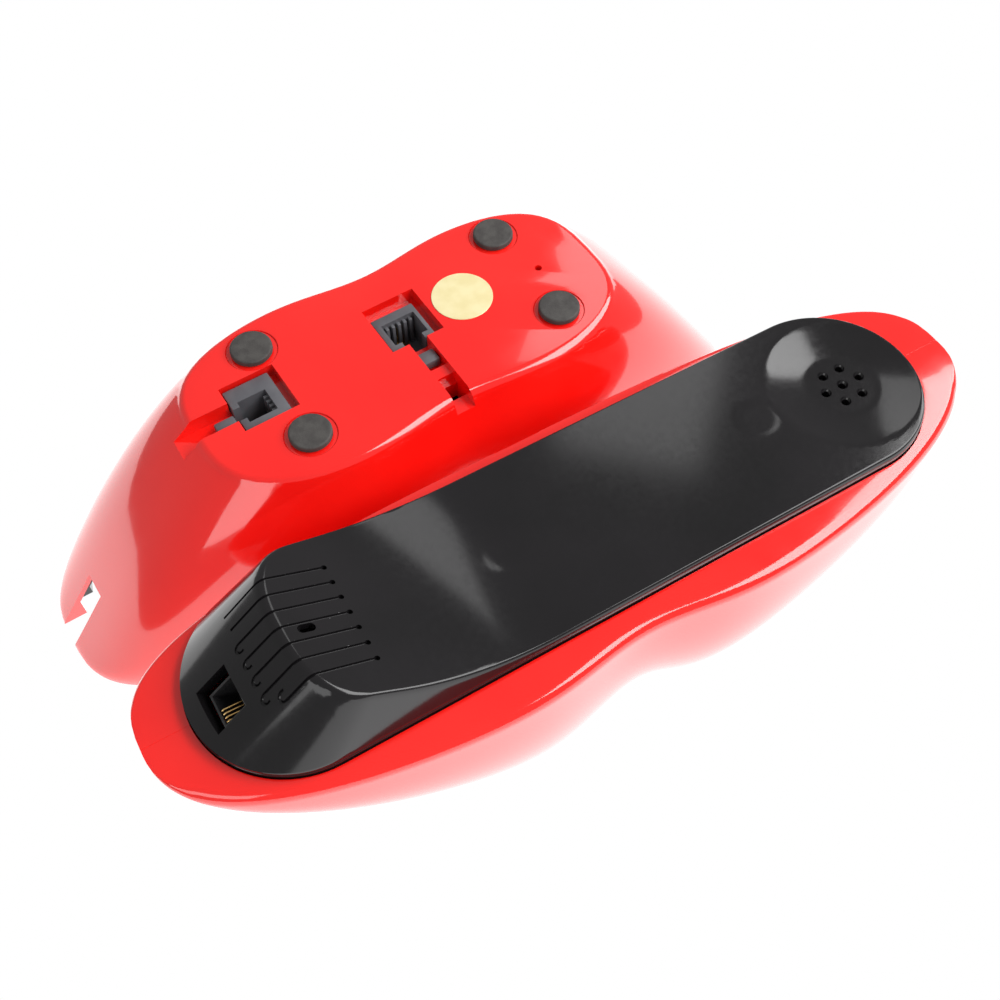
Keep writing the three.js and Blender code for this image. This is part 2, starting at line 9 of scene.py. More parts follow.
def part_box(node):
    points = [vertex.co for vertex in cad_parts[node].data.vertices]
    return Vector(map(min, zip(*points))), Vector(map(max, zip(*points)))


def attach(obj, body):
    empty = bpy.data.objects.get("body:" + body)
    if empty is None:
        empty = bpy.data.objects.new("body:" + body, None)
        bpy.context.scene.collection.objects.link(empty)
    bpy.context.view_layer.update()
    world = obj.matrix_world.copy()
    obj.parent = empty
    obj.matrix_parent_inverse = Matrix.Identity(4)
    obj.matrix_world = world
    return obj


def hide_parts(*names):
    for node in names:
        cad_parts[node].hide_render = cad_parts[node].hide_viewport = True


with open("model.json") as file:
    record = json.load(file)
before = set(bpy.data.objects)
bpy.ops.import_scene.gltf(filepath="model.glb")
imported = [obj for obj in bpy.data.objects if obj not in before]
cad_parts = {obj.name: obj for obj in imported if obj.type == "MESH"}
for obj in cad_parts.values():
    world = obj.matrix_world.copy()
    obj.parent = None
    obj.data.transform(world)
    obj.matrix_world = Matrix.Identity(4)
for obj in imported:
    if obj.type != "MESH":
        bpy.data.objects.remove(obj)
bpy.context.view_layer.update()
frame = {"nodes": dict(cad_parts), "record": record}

NODES = frame["nodes"]
MM = 0.001

# ---- lip bodies in millimetres, the same curves as the CAD parts, drawn finely ----
BASE_SIDE = {"half": 35.87, "power": 3.04, "waist": 0.078, "rim": 1.2}
BASE_LIP = {
    "left": 111.46, "right": 103.8, "near": BASE_SIDE, "far": BASE_SIDE,
    "section_power": 2.875, "bulge": 0.0, "depth": 70.7, "taper_power": 2.65,
    "taper_root": 1.26, "bow": 0.076, "bow_width": 18.7, "edge": 3.2,
}
HANDSET_LIP = {
    "left": 109.4, "right": 111.92, "section_power": 3.17, "bulge": 0.095,
    "near": {"half": 34.48, "power": 2.3, "waist": 0.136, "rim": 3.0},
    "far": {"half": 30.0, "power": 3.2, "waist": 0.0, "rim": 1.5},
    "depth": 55.15, "taper_power": 1.86, "taper_root": 1.24,
    "bow": 0.254, "bow_width": 14.0, "edge": 4.1,
}
WAIST_WIDTH = 22.0
WALL = 2.6
GAP = 0.3

# ---- base, from the middle of its four feet ----
BASE_Y = -1.2
FACE_Z = 57.0
SHOULDER = {"drop": 1.5, "reach": 2.3}
FEET = [(-37.2, -16), (37.2, -16), (-37.2, 16), (37.2, 16)]
FOOT = {"r": 5.5, "h": 1.6, "sunk": 0.25, "ring": 6.6}
STICKER = {"x": 18.2, "y": 1.9, "r": 8.25, "h": 0.2}
BREATHER = {"x": 41.0, "y": -0.7, "r": 1.0}
CORD_NOTCH = {"y": 1.0, "half": 3.9, "top": 16.0, "right": -94.0}
BOSS = {"r": 5.2, "depth": 6.0}
JACK_BLOCK_DEPTH = 10.0
SCREW_HOLE = {"shank_r": 1.8, "head_r": 3.1, "head_depth": 1.8}
POCKET_DEPTH = 4.0
CHANNEL_DEPTH = 4.6
JACK_DEPTH = 13.0
LINE_JACK = {
    "block": (-9.4, 10.4, -40, 13.8), "pocket": (-7, 8.4, -4.6, 11.7), "body": (-6.6, 6.1, -4.2, 8.3),
    "mouth": (-4.9, 4.9, -2.2, 5.4), "latch": (-3, 3, -5, -2),
}
CORD_JACK = {
    "block": (-70, -33, -8.4, 11), "pocket": (-50.2, -35, -6.3, 9.1), "body": (-49.8, -37, -5.9, 8.4),
    "mouth": (-47.8, -40, -3.6, 3.6), "latch": (-51, -47.6, -2, 2),
}
LINE_CHANNEL = {"x0": -2.1, "x1": 3.2, "tooth": (-17.4, -14), "hole": (-23.4, -18.8), "tongue": (-11.6, -7.6)}
CORD_CHANNEL = {"y0": -2.6, "y1": 3.9}

# ---- handset, from the middle of its rim plane ----
HANDSET_YAW = math.radians(-2.6)
HANDSET_OFFSET = (3.04, -73.77)
COVER = {"x": 0.6, "y": 1.3, "half": 97.6, "r": 23.3, "top": 3.5, "t": 2.2, "skirt": 2.4, "bevel": 0.9}
HUMP = {"foot": -19.4, "bend_r": 81.4, "pitch": math.radians(27.5)}
CREST = {"x": -58.0, "reach": 15.3, "half": 19.0, "power": 2.5, "height": 17.7}
SLOPE_RISE = CREST["height"] + 2
CREST_TURN = 14.0
DISH = {"x": 79.5, "r": 19.5, "depth": 2.2}
EARPIECE = {"x": 80.0, "y": 1.4, "hole_r": 0.95, "ring_r": 5.25}
MIC = {"x": -68.5, "y": -0.2, "half": 1.9, "r": 1.05}
GROOVE = {"pitch": 4.2, "count": 7, "width": 0.62, "depth": 0.7, "left": -82.2, "right": -58.3, "hook_r": 1.0}
PARTING_LINE = {"half": 0.14, "inner": 96.0, "depth": 0.08}
SINK_MARKS = [(-20.0, 2.0, 4.0), (54.0, 3.0, 5.0)]
HANDSET_JACK = {
    "x": -90.3, "y": -0.7, "sx": 9.9, "sy": 10.8, "depth": 10.5, "sunk": 1.2,
    "mouth": (-2.4, 4.1, -4.7, 2.6), "ledge": (-3.0, 3.2), "ledge_depth": 6.0,
}


def frame_origins():
    """Base origin (middle of the four feet) and handset origin (its rim plane), in metres."""
    low = Vector(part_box("foot_1")[0])
    high = Vector(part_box("foot_4")[1])
    base = Vector(((low.x + high.x) / 2, (low.y + high.y) / 2, 0))
    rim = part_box("handset_shell")[1][2]
    return base, Vector((base.x + HANDSET_OFFSET[0] * MM, base.y + HANDSET_OFFSET[1] * MM, rim))


BASE_ORIGIN, HANDSET_ORIGIN = frame_origins()
BASE_PLACE = Matrix.Translation(BASE_ORIGIN) @ Matrix.Scale(MM, 4)
HANDSET_TURN = Matrix.Rotation(HANDSET_YAW, 4, "Z")
HANDSET_PLACE = Matrix.Translation(HANDSET_ORIGIN) @ HANDSET_TURN @ Matrix.Scale(MM, 4)


# ---------------------------------------------------------------- mesh helpers

def make_object(name, points, faces, place):
    """A mesh object whose vertices, in millimetres, are carried into the shared frame by place."""
    mesh = bpy.data.meshes.new(name)
    mesh.from_pydata([tuple(p) for p in points], [], [tuple(f) for f in faces])
    mesh.transform(place)
    obj = bpy.data.objects.new(name, mesh)
    bpy.context.scene.collection.objects.link(obj)
    face_outwards(obj)
    return obj


def face_outwards(obj):
    edit = bmesh.new()
    edit.from_mesh(obj.data)
    bmesh.ops.recalc_face_normals(edit, faces=edit.faces)
    if edit.calc_volume(signed=True) < 0:
        bmesh.ops.reverse_faces(edit, faces=edit.faces)
    edit.to_mesh(obj.data)
    edit.free()


def loft_faces(ring_count, points_per_ring):
    """Quads between closed rings, and a fan of triangles to one extra point at each end."""
    n = points_per_ring
    start = ring_count * n
    faces = []
    for k in range(n):
        after = (k + 1) % n
        faces.append((start, after, k))
        faces.append((start + 1, start - n + k, start - n + after))
        for ring in range(ring_count - 1):
            a, b = ring * n, (ring + 1) * n
            faces.append((a + k, a + after, b + after, b + k))
    return faces


def loft(name, rings, place, start=None, end=None):
    start = start or tuple(np.mean(rings[0], axis=0))
    end = end or tuple(np.mean(rings[-1], axis=0))
    points = [p for ring in rings for p in ring] + [start, end]
    return make_object(name, points, loft_faces(len(rings), len(rings[0])), place)


def prism(name, outline, z0, z1, place):
    return loft(name, [[(x, y, z) for x, y in outline] for z in (z0, z1)], place)


def block(name, x0, x1, y0, y1, z0, z1, place):
    return prism(name, [(x0, y0), (x1, y0), (x1, y1), (x0, y1)], z0, z1, place)


def plan_block(name, plan, z0, z1, place, grow=0.0):
    x0, x1, y0, y1 = plan
    return block(name, x0 - grow, x1 + grow, y0 - grow, y1 + grow, z0, z1, place)


def lathe(name, profile, place, x=0.0, y=0.0, z=0.0, sides=64):
    """Rings of (radius, height) turned about an upright axis, closed on the axis at both ends."""
    turns = [2 * math.pi * k / sides for k in range(sides)]
    rings = [
        [(x + radius * math.cos(t), y + radius * math.sin(t), z + height) for t in turns]
        for radius, height in profile
    ]
    return loft(name, rings, place, (x, y, z + profile[0][1]), (x, y, z + profile[-1][1]))


def merge(name, objects):
    """Several separate bodies in one mesh object."""
    edit = bmesh.new()
    for obj in objects:
        edit.from_mesh(obj.data)
        bpy.data.objects.remove(obj)
    mesh = bpy.data.meshes.new(name)
    edit.to_mesh(mesh)
    edit.free()
    merged = bpy.data.objects.new(name, mesh)
    bpy.context.scene.collection.objects.link(merged)
    return merged


def apply_modifiers(obj):
    depsgraph = bpy.context.evaluated_depsgraph_get()
    mesh = bpy.data.meshes.new_from_object(obj.evaluated_get(depsgraph))
    obj.modifiers.clear()
    obj.data = mesh


def boolean(obj, tool, operation="DIFFERENCE"):
    modifier = obj.modifiers.new("boolean", "BOOLEAN")
    modifier.operation = operation
    modifier.solver = "MANIFOLD"
    modifier.object = tool
    apply_modifiers(obj)
    bpy.data.objects.remove(tool)
    return obj


def bevel(obj, width, segments=2, degrees=35):
    modifier = obj.modifiers.new("bevel", "BEVEL")
    modifier.width = width * MM
    modifier.segments = segments
    modifier.limit_method = "ANGLE"
    modifier.angle_limit = math.radians(degrees)
    modifier.use_clamp_overlap = True
    apply_modifiers(obj)
    return obj


def finish_mesh(obj, degrees=32):
    """Welds and shades a finished piece: smooth, with its true edges sharp."""
    edit = bmesh.new()
    edit.from_mesh(obj.data)
    bmesh.ops.remove_doubles(edit, verts=edit.verts, dist=1e-7)
    bmesh.ops.dissolve_degenerate(edit, edges=edit.edges, dist=1e-7)
    ngons = [face for face in edit.faces if len(face.verts) > 4]
    bmesh.ops.triangulate(edit, faces=ngons, ngon_method="EAR_CLIP")
    edit.to_mesh(obj.data)
    edit.free()
    for polygon in obj.data.polygons:
        polygon.use_smooth = True
    obj.data.set_sharp_from_angle(angle=math.radians(degrees))
    return obj


# ---------------------------------------------------------------- lip shape

def side_half(side, u, x):
    """Half width of one side of a lip, u along its half length, narrowed at the waist."""
    plan = (1 - u ** side["power"]) ** (1 / side["power"])
    return side["half"] * plan * (1 - side["waist"] * math.exp(-((x / WAIST_WIDTH) ** 2)))


def lip_depth(lip, u, x):
    """Depth of a lip's back below its rim, with the bow's dip in the middle."""
    taper = (1 - u ** lip["taper_power"]) ** lip["taper_root"]
    bow = 1 - lip["bow"] * math.exp(-((x / lip["bow_width"]) ** 2))
    return lip["depth"] * taper * bow + lip["edge"] * math.sqrt(1 - u ** 12)


def lip_section(lip, x, wall, steps):
    """One cross-section as (y, depth) points, from the far rim over the back to the near rim."""
    u = abs(x) / (lip["left"] if x < 0 else lip["right"])
    depth = lip_depth(lip, u, x) - wall
    points = []
    for k in range(-steps, steps + 1):
        side = lip["far"] if k < 0 else lip["near"]
        half = side_half(side, u, x) - wall
        turn = math.pi / 2 * (1 - abs(k) / steps) ** 2.2
        down = depth * math.sin(turn) ** (2 / lip["section_power"])
        reach = half * max(0, math.cos(turn)) ** (2 / lip["section_power"])
        reach *= 1 + lip["bulge"] * math.sin(2 * turn)
        radius = 0 if wall > 0 else min(side["rim"], depth / 2, half / 2)
        inset = radius - math.sqrt(radius ** 2 - (radius - down) ** 2) if down < radius else 0
        points.append((math.copysign(max(0, reach - inset), -k), down))
    return points


def lip_rings(lip, up, wall, skirt, reach, stations, steps):
    """Cross-sections from tip to tip, closer together towards the tips."""
    rings = []
    for i in range(stations):
        even = 2 * i / (stations - 1) - 1
        t = reach * (even + math.sin(math.pi / 2 * even)) / 2
        x = t * (lip["left"] if t < 0 else lip["right"])
        section = lip_section(lip, x, wall, steps)
        if skirt:
            section = [(section[0][0], -skirt), *section, (section[-1][0], -skirt)]
        rings.append([(x, y, up * down) for y, down in section])
    return rings


def lip_body(name, lip, up, place, stations=221, steps=40):
    """A whole lip, solid, its back towards up (1 or -1)."""
    rings = lip_rings(lip, up, 0, 0, 0.9992, stations, steps)
    return loft(name, rings, place, (-lip["left"], 0, 0), (lip["right"], 0, 0))


def lip_hollow(name, lip, up, wall, skirt, place, stations=91, steps=16):
    """The room inside a lip, one wall thickness in, carried past the rim by the skirt."""
    reach = 1 - 2.6 * wall / lip["left"]
    return loft(name, lip_rings(lip, up, wall, skirt, reach, stations, steps), place)


def stadium(x, y, half, r, arc_steps=40):
    """Outline of a slot with round ends."""
    points = []
    for side in (1, -1):
        for k in range(arc_steps + 1):
            angle = math.pi * (k / arc_steps - 0.5)
            points.append((x + side * (half - r + r * math.cos(angle)), y + side * r * math.sin(angle)))
    return points


# ---------------------------------------------------------------- cover shape

def inner_slope(x):
    """Height of the mouthpiece's slope over the cover: a level start, then a straight climb."""
    bend = HUMP["bend_r"] * math.sin(HUMP["pitch"])
    run = np.maximum(HUMP["foot"] - x, 0)
    curved = HUMP["bend_r"] - np.sqrt(HUMP["bend_r"] ** 2 - np.minimum(run, bend) ** 2)
    return curved + np.maximum(run - bend, 0) * math.tan(HUMP["pitch"])


def outline_end(level, turn, inset):
    """Plan x of the hump's outline at a level, turn 0 at its left tip and a quarter turn at its side."""
    low = COVER["x"] - COVER["half"] + COVER["r"] - (COVER["r"] + COVER["bevel"] - inset) * np.cos(turn)
    cosine = np.maximum(np.cos(turn), 0)
    high = CREST["x"] - (CREST["reach"] - inset) * cosine ** (2 / CREST["power"])
    return (1 - level) * low + level * high


def outline_across(level, turn, inset):
    """Half width of the hump's outline at a level and a turn."""
    low = (COVER["r"] + COVER["bevel"] - inset) * np.sin(turn)
    high = (CREST["half"] - inset) * np.sin(turn) ** (2 / CREST["power"])
    return (1 - level) * low + level * high


def flank_level(x, y, inset):
    """How far up the hump's outer side a plan point lies: 0 at the low outline, 1 at the high one."""
    level_low, level_high = np.full_like(x, -0.3), np.full_like(x, 1.35)
    for _ in range(26):
        level = (level_low + level_high) / 2
        low_turn, high_turn = np.zeros_like(x), np.full_like(x, math.pi / 2)
        for _ in range(24):
            turn = (low_turn + high_turn) / 2
            across = outline_across(level, turn, inset)
            high_turn = np.where(across > y, turn, high_turn)
            low_turn = np.where(across > y, low_turn, turn)
        inside = (x > outline_end(level, turn, inset)) & (y < outline_across(level, math.pi / 2, inset))
        level_low = np.where(inside, level, level_low)
        level_high = np.where(inside, level_high, level)
    return (level_low + level_high) / 2


def smooth_min(a, b, reach):
    """The lower of two heights, rounded where they come within reach of each other."""
    blend = np.maximum(reach - np.abs(a - b), 0) / reach
    return np.minimum(a, b) - blend ** 2 * reach / 4


def cover_height(x, y, inset=0.0):
    """Height of the cover's face at plan points, arrays measured from the handset's middle."""
    x, y = np.asarray(x, float), np.asarray(y, float) - COVER["y"]
    face = COVER["top"] + inner_slope(x)
    from_dish = np.minimum(np.hypot(x - DISH["x"], y) / DISH["r"], 1)
    face -= DISH["depth"] * (1 - from_dish ** 2)
    for mark_x, mark_y, mark_r in SINK_MARKS:
        from_mark = np.hypot(x - mark_x, y + COVER["y"] - mark_y) / mark_r
        face -= 0.12 / (1 + from_mark ** 20)
    r = COVER["r"] + COVER["bevel"] - inset
    right_x = COVER["x"] + COVER["half"] - COVER["r"]
    right = (r - np.hypot(np.maximum(x - right_x, 0), y)) / (COVER["r"] + COVER["bevel"] - CREST["half"])
    level = np.where(x > 0, right, flank_level(np.minimum(x, 0), np.abs(y), inset))
    side = COVER["top"] - 1 + SLOPE_RISE * level
    return smooth_min(face, side, 2.0) - inset


def cover_half_width(x, inset):
    """Half width of the cover's round-ended outline."""
    half = COVER["half"] + COVER["bevel"] - inset
    r = COVER["r"] + COVER["bevel"] - inset
    past = max(0, abs(x - COVER["x"]) - (half - r))
    return math.sqrt(max(0, r ** 2 - past ** 2))


def crest_bend(y):
    """How far the crest line has curved back towards the earpiece, y from the cover's middle."""
    y = min(abs(y), CREST_TURN)
    return CREST["reach"] * (1 - (1 - (y / CREST["half"]) ** CREST["power"]) ** (1 / CREST["power"]))


def cover_stations(inset, coarse):
    """Places of the cross-sections: close together at the ends and around the crest."""
    half = COVER["half"] + COVER["bevel"] - inset
    ends = [half * 0.9998, half * 0.9985, half * 0.996, half * 0.992, half * 0.987, half * 0.98]
    crest = CREST["x"] - CREST["reach"]
    x = -ends[-1] + COVER["x"]
    places = [COVER["x"] - end for end in ends]
    while x < COVER["x"] + ends[-1] - 1.2:
        from_crest = abs(x - crest)
        x += coarse * (0.3 if from_crest < 1.6 else 0.45 if from_crest < 36 else 1.1)
        places.append(x)
    return places + [COVER["x"] + end for end in reversed(ends)]


def ridge_half(x, width, inset):
    """Half width of the line along which the cover's face turns down into its flank."""
    level = (float(inner_slope(x)) + 1) / SLOPE_RISE
    low_turn, high_turn = 0, math.pi / 2
    for _ in range(24):
        turn = (low_turn + high_turn) / 2
        past = outline_end(level, turn, inset) > x
        low_turn, high_turn = (low_turn, turn) if past else (turn, high_turn)
    return min(max(float(outline_across(level, turn, inset)), CREST_TURN), width * 0.97)


def cover_rows(ridge, width):
    """Distances across the cover from side to side, close together along the ridge and the edge."""
    turn = min(0.6, (width - ridge) * 0.6)
    inner = np.linspace(0, 0.95, 26) * ridge
    around = ridge + turn * np.linspace(-1, 1, 9)
    shares = np.array([0.15, 0.3, 0.45, 0.6, 0.72, 0.82, 0.9, 0.95, 0.98, 1.0])
    half = np.concatenate([inner, around, ridge + turn + (width - ridge - turn) * shares])
    return np.concatenate([-half[:0:-1], half])


def cover_body(name, inset=0.0, coarse=1.0):
    """The cover as a closed body: its face over cross-sections, and an upright side with a fine line."""
    rings = []
    wall = [(-COVER["skirt"] - (3 if inset else 0), 0), (1.15, 0), (1.3, 0.3), (1.5, 0.3), (1.65, 0)]
    if inset:
        wall = wall[:1]
    crest = CREST["x"] - CREST["reach"]
    for station in cover_stations(inset, coarse):
        pull = math.exp(-(((station - crest) / 12) ** 2))
        width = cover_half_width(station, inset)
        for _ in range(8):
            width = cover_half_width(station + crest_bend(width) * pull, inset)
        ridge = ridge_half(station + crest_bend(CREST_TURN) * pull, width, inset)
        ys = cover_rows(ridge, width)
        xs = np.array([station + crest_bend(y) * pull for y in ys])
        zs = cover_height(xs, ys + COVER["y"], inset)
        zs = np.maximum(zs, 1.8 - inset)
        across = [(x, y + COVER["y"], z) for x, y, z in zip(xs, ys, zs)]
        near, far = [], []
        for z, dent in wall:
            near.append((xs[0], COVER["y"] + ys[0] + min(dent, width / 2), z))
            far.append((xs[-1], COVER["y"] + ys[-1] - min(dent, width / 2), z))
        rings.append(near + across + far[::-1])
    return loft(name, rings, HANDSET_PLACE)


def path_cutter(name, path, width, depth, place):
    """A groove cutter that follows a plan path and stays one depth below the cover's face."""
    path = np.array(path, float)
    along = np.gradient(path, axis=0)
    along /= np.linalg.norm(along, axis=1)[:, None]
    across = np.column_stack([-along[:, 1], along[:, 0]]) * width / 2
    heights = cover_height(path[:, 0], path[:, 1])
    rings = []
    for (x, y), (ax, ay), z in zip(path, across, heights):
        rings.append([
            (x - ax * 0.7, y - ay * 0.7, z - depth), (x + ax * 0.7, y + ay * 0.7, z - depth),
            (x + ax, y + ay, z - depth * 0.6), (x + ax * 1.3, y + ay * 1.3, z + 2.5),
            (x - ax * 1.3, y - ay * 1.3, z + 2.5), (x - ax, y - ay, z - depth * 0.6),
        ])
    return loft(name, rings, place)


def groove_path(index):
    """From the pit on the inner slope over the crest to a small hook on the outer slope."""
    y = COVER["y"] + (index - (GROOVE["count"] - 1) / 2) * GROOVE["pitch"]
    path = [(x, y) for x in np.arange(GROOVE["right"], GROOVE["left"], -0.35)]
    if index >= GROOVE["count"] - 2:
        return path
    turn_to = 1 if index == 0 else -1
    if index == 0:
        path = [(x, y_) for x, y_ in path if x > GROOVE["left"] + 3]
    end_x = path[-1][0]
    for k in range(1, 11):
        turn = math.radians(210) * k / 10
        path.append((
            end_x - GROOVE["hook_r"] * math.sin(turn),
            y + turn_to * GROOVE["hook_r"] * (1 - math.cos(turn)),
        ))
    return path


# ---------------------------------------------------------------- base pieces

BASE_SHIFTED = BASE_PLACE @ Matrix.Translation((0, BASE_Y, 0))


def rim_loop(edges):
    """The vertices of a closed loop of edges, in order."""
    links = {}
    for edge in edges:
        for vert in edge.verts:
            links.setdefault(vert, []).append(edge.other_vert(vert))
    first = edges[0].verts[0]
    loop, last, here = [first], first, links[first][0]
    while here != first:
        loop.append(here)
        last, here = here, next(v for v in links[here] if v != last)
    return loop


def round_inwards(edit, loop, drop, reach):
    """Carries an open level rim up and inwards over a quarter turn; returns the last loop."""
    count, steps = len(loop), 6
    points = [vert.co.copy() for vert in loop]
    area = sum(a.x * b.y - b.x * a.y for a, b in zip(points, points[1:] + points[:1]))
    turned = 1 if area > 0 else -1
    inward = []
    for k in range(count):
        along = (points[(k + 4) % count] - points[k - 4]).normalized() * turned
        inward.append(Vector((-along.y, along.x, 0)))
    for step in range(1, steps + 1):
        share = step / steps
        rise = drop * (1 - (1 - share) ** 2)
        ring = [edit.verts.new(p + n * reach * share + Vector((0, 0, rise))) for p, n in zip(points, inward)]
        for k in range(count):
            edit.faces.new((loop[k - 1], loop[k], ring[k], ring[k - 1]))
        loop = ring
    return loop


def cut_flat(obj, height, drop=0.0, reach=0.0):
    """Cuts the top off at a height in millimetres and closes it; drop and reach round its new edge."""
    edit = bmesh.new()
    edit.from_mesh(obj.data)
    parts = edit.verts[:] + edit.edges[:] + edit.faces[:]
    made = bmesh.ops.bisect_plane(
        edit, geom=parts, dist=1e-9, plane_co=(0, 0, (height - drop) * MM), plane_no=(0, 0, 1),
        clear_outer=True
    )
    rim = [part for part in made["geom_cut"] if isinstance(part, bmesh.types.BMVert)]
    bmesh.ops.remove_doubles(edit, verts=rim, dist=0.3 * MM)
    loop = rim_loop([edge for edge in edit.edges if edge.is_boundary])
    if drop:
        loop = round_inwards(edit, loop, drop * MM, reach * MM)
    edit.faces.new(loop)
    bmesh.ops.recalc_face_normals(edit, faces=edit.faces)
    edit.to_mesh(obj.data)
    edit.free()


def jack_room(jack, name):
    """The pocket and the hole that a socket sits in."""
    pocket = plan_block(name, jack["pocket"], FACE_Z - POCKET_DEPTH, FACE_Z + 5, BASE_PLACE)
    return boolean(pocket, plan_block("hole", jack["body"], 20, FACE_Z + 4, BASE_PLACE, GAP / 2), "UNION")


def hollow_base(shell):
    """Takes out the inside of the base, all but the blocks round the sockets and the screw bosses."""
    room = lip_hollow("room", BASE_LIP, 1, WALL, 6, BASE_SHIFTED)
    cut_flat(room, FACE_Z - WALL)
    for jack in (LINE_JACK, CORD_JACK):
        boolean(room, plan_block("block", jack["block"], FACE_Z - JACK_BLOCK_DEPTH, FACE_Z, BASE_PLACE))
    boss = [(BOSS["r"], FACE_Z - BOSS["depth"]), (BOSS["r"], FACE_Z)]
    for x, y in FEET:
        boolean(room, lathe("boss", boss, BASE_PLACE, x, y))
    boolean(shell, room)


def cut_channels(shell):
    """The cable channels in the flat bottom that lead away from the two sockets."""
    low = FACE_Z - CHANNEL_DEPTH
    x0, x1 = LINE_CHANNEL["x0"], LINE_CHANNEL["x1"]
    boolean(shell, block("channel", x0, x1, -50, LINE_JACK["pocket"][2] + 1, low, 80, BASE_PLACE))
    boolean(shell, block("hole", x0, x1, *LINE_CHANNEL["hole"], 20, 80, BASE_PLACE))
    tooth = block("tooth", x0 - 0.5, x1 + 0.5, *LINE_CHANNEL["tooth"], low - 1, FACE_Z - 1.8, BASE_PLACE)
    boolean(shell, tooth, "UNION")
    y0, y1 = CORD_CHANNEL["y0"], CORD_CHANNEL["y1"]
    boolean(shell, block("channel", -90, CORD_JACK["pocket"][0] + 1, y0, y1, low, 80, BASE_PLACE))


def cut_seats(shell):
    """The breather hole, the sunk rings that the feet stick in and the screw holes under them."""
    breather = [(BREATHER["r"], 40), (BREATHER["r"], 70)]
    holes = [lathe("hole", breather, BASE_PLACE, BREATHER["x"], BREATHER["y"], 0, 24)]
    ring = [(FOOT["ring"], FACE_Z - FOOT["sunk"]), (FOOT["ring"] + 0.3, FACE_Z + 0.05), (FOOT["ring"], 70)]
    holes += [lathe("seat", ring, BASE_PLACE, x, y) for x, y in FEET]
    boolean(shell, merge("holes", holes))
    head_z = FACE_Z - SCREW_HOLE["head_depth"]
    shank_r, head_r = SCREW_HOLE["shank_r"], SCREW_HOLE["head_r"]
    for x, y in FEET:
        profile = [(shank_r, 40), (shank_r, head_z), (head_r, head_z), (head_r, 70)]
        boolean(shell, lathe("screw_hole", profile, BASE_PLACE, x, y))


def make_base_shell():
    shell = lip_body("base_shell_fine", BASE_LIP, 1, BASE_SHIFTED)
    cut_flat(shell, FACE_Z, **SHOULDER)
    hollow_base(shell)
    for jack in (LINE_JACK, CORD_JACK):
        boolean(shell, jack_room(jack, "pocket"))
    cut_channels(shell)
    cut_seats(shell)
    y, half, right = CORD_NOTCH["y"], CORD_NOTCH["half"], CORD_NOTCH["right"]
    boolean(shell, block("notch", -130, right, y - half, y + half, -20, CORD_NOTCH["top"], BASE_PLACE))
    return finish_mesh(shell)


def make_foot(index):
    x, y = FEET[index]
    r, top = FOOT["r"], FACE_Z + FOOT["h"]
    profile = [(r - 0.25, FACE_Z - FOOT["sunk"] + 0.03), (r, FACE_Z + 0.1)]
    for k in range(7):
        turn = math.pi / 2 * k / 6
        profile.append((r - 0.55 * (1 - math.cos(turn)), top - 0.55 * (1 - math.sin(turn))))
    profile += [(r * 0.6, top - 0.02), (r * 0.3, top - 0.04)]
    return finish_mesh(lathe(f"foot_{index + 1}_fine", profile, BASE_PLACE, x, y))


def make_sticker():
    r, top = STICKER["r"], FACE_Z + STICKER["h"]
    profile = [(r, FACE_Z + 0.03), (r, top - 0.06), (r - 0.06, top), (r * 0.5, top)]
    return finish_mesh(lathe("sticker_fine", profile, BASE_PLACE, STICKER["x"], STICKER["y"], 0, 96))


def socket_body(jack, name):
    """A modular socket: a bevelled block with its mouth and the slot for the plug's latch."""
    bottom = FACE_Z - JACK_DEPTH
    body = bevel(plan_block(name, jack["body"], bottom, FACE_Z - 1, BASE_PLACE), 0.35)
    boolean(body, plan_block("mouth", jack["mouth"], bottom + 1.4, 80, BASE_PLACE))
    boolean(body, plan_block("latch", jack["latch"], bottom + 4, 80, BASE_PLACE))
    return body


def guide_ribs(body, ribs):
    """Joins bevelled guide ribs to a socket; each rib is its plan box (x0, x1, y0, y1)."""
    made = [bevel(plan_block("rib", rib, 46, FACE_Z - 2.2, BASE_PLACE), 0.15) for rib in ribs]
    boolean(body, merge("ribs", made), "UNION")


def with_tongue(name, body, plan, top):
    """A socket with the flat tongue that reaches into its cable channel."""
    bottom = FACE_Z - CHANNEL_DEPTH + 0.05
    tongue = bevel(plan_block("tongue", plan, bottom, top, BASE_PLACE), 0.4)
    return finish_mesh(merge(name, [body, tongue]))


def make_line_jack():
    body = socket_body(LINE_JACK, "line_jack_fine")
    x0, x1, _, wall = LINE_JACK["mouth"]
    places = [(x0 + x1) / 2 + (k - 2) * 1.75 for k in range(5)]
    guide_ribs(body, [(x - 0.45, x + 0.45, wall - 1.25, wall + 0.2) for x in places])
    plan = (LINE_CHANNEL["x0"] + 0.3, LINE_CHANNEL["x1"] - 0.3, *LINE_CHANNEL["tongue"])
    return with_tongue("line_jack_fine", body, plan, FACE_Z - 1.6)


def make_cord_jack():
    body = socket_body(CORD_JACK, "cord_jack_fine")
    _, wall, y0, y1 = CORD_JACK["mouth"]
    places = [(y0 + y1) / 2 + (k - 1.5) * 1.6 for k in range(4)]
    guide_ribs(body, [(wall - 1.2, wall + 0.2, y - 0.4, y + 0.4) for y in places])
    right = CORD_JACK["body"][0] - 0.4
    return with_tongue("cord_jack_fine", body, (right - 5.5, right, -1.6, 1.6), FACE_Z - 2.2)


# ---------------------------------------------------------------- handset pieces

def slope_place():
    """The frame of the socket in the hump's outer slope, its mouth up."""
    foot = COVER["x"] - COVER["half"] - COVER["bevel"]
    tilt = math.atan2(SLOPE_RISE, CREST["x"] - CREST["reach"] - foot)
    z = COVER["top"] - 1 + (HANDSET_JACK["x"] - foot) * math.tan(tilt)
    place = Matrix.Translation((HANDSET_JACK["x"], HANDSET_JACK["y"], z))
    return HANDSET_PLACE @ place @ Matrix.Rotation(-tilt, 4, "Y")


